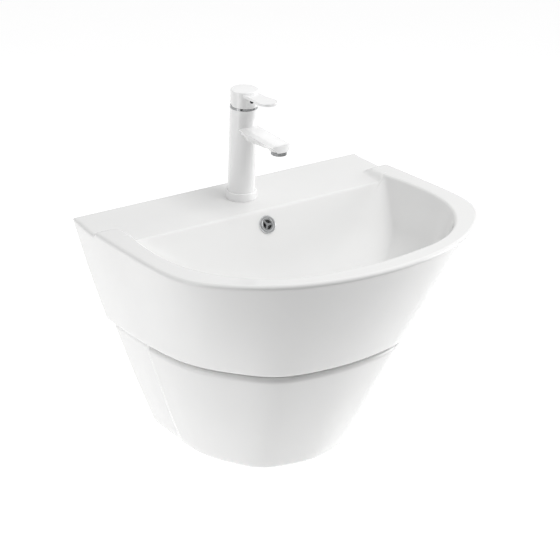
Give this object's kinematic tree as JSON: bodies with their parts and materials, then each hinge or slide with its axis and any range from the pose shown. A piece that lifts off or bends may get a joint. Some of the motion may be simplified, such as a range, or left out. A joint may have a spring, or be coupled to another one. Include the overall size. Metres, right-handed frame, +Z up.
{
  "type": "wall-hung basin",
  "caption": "Wall-hung ceramic wash basin with a half pedestal, single-lever tap, click waste and bottle trap.",
  "frame": {"origin": "on the wall plane, midway between the two wall-fixing holes of the basin", "axes": "+X along the wall, +Y into the wall, +Z up; the bowl's front faces -Y"},
  "size_m": [0.5456, 0.4373, 0.559],
  "materials": {
    "glaze": "white glazed vitreous china, glossy",
    "tap_white": "gloss white lacquer on brass",
    "chrome": "polished chrome plate",
    "chrome_satin": "chrome plate, slightly satin",
    "steel": "plain stainless steel",
    "brass": "machined brass",
    "rubber_black": "black rubber",
    "nylon_white": "white nylon",
    "cartridge_plastic": "pale grey plastic",
    "trap_plastic": "white moulded polypropylene",
    "cover_black": "gloss black plastic"
  },
  "bodies": {
    "basin": {"basin_body": "glaze", "half_pedestal": "glaze", "pedestal_buffers": "rubber_black", "wall_fixing_bushes": "nylon_white", "wall_fixing_washers": "steel", "wall_fixing_nuts": "steel", "pedestal_fixing_bushes": "nylon_white", "pedestal_fixing_washers": "steel", "pedestal_fixing_nuts": "steel", "overflow_bezel": "chrome", "overflow_insert": "chrome_satin", "tap_body": "tap_white", "tap_base_flange": "tap_white", "tap_base_seal": "rubber_black", "tap_fixing_stud": "steel", "tap_rubber_horseshoe": "rubber_black", "tap_metal_horseshoe": "steel", "tap_fixing_nut": "brass", "cartridge_body": "cartridge_plastic", "cartridge_nut": "brass", "tap_trim_ring": "chrome", "aerator_housing": "chrome", "aerator_insert": "cartridge_plastic", "aerator_washer": "rubber_black", "waste_body": "chrome", "waste_top_seal": "rubber_black", "waste_bottom_seal": "rubber_black", "waste_slip_washer": "nylon_white", "waste_back_nut": "brass", "waste_latch": "cartridge_plastic", "trap_inlet_pipe": "trap_plastic", "trap_inlet_nut": "trap_plastic", "trap_body": "trap_plastic", "trap_body_nut": "trap_plastic", "trap_body_seal": "rubber_black", "trap_cup": "trap_plastic", "trap_cup_seal": "rubber_black", "trap_outlet_pipe": "trap_plastic", "trap_outlet_nut": "trap_plastic", "wall_rosette": "trap_plastic"},
    "turret": {"cartridge_carrier": "cartridge_plastic", "cartridge_pin": "steel"},
    "lever": {"lever": "tap_white", "lever_grub_screw": "steel", "lever_screw_cover": "cover_black", "cartridge_spindle": "brass"},
    "plug": {"waste_plug": "chrome", "waste_plug_ring": "rubber_black"}
  },
  "joints": [
    {"name": "lever_swing", "type": "hinge", "parent": "basin", "child": "turret", "pos_m": [0, -0.06711, 0.24826], "axis": [0, -0.0698, 0.9976], "range_deg": [-45, 45]},
    {"name": "lever_lift", "type": "hinge", "parent": "turret", "child": "lever", "pos_m": [0, -0.0667, 0.24228], "axis": [-1, 0, 0], "range_deg": [0, 20]},
    {"name": "plug_lift", "type": "slide", "parent": "basin", "child": "plug", "axis": [0, 0, 1], "range_m": [0, 0.008]}
  ]
}
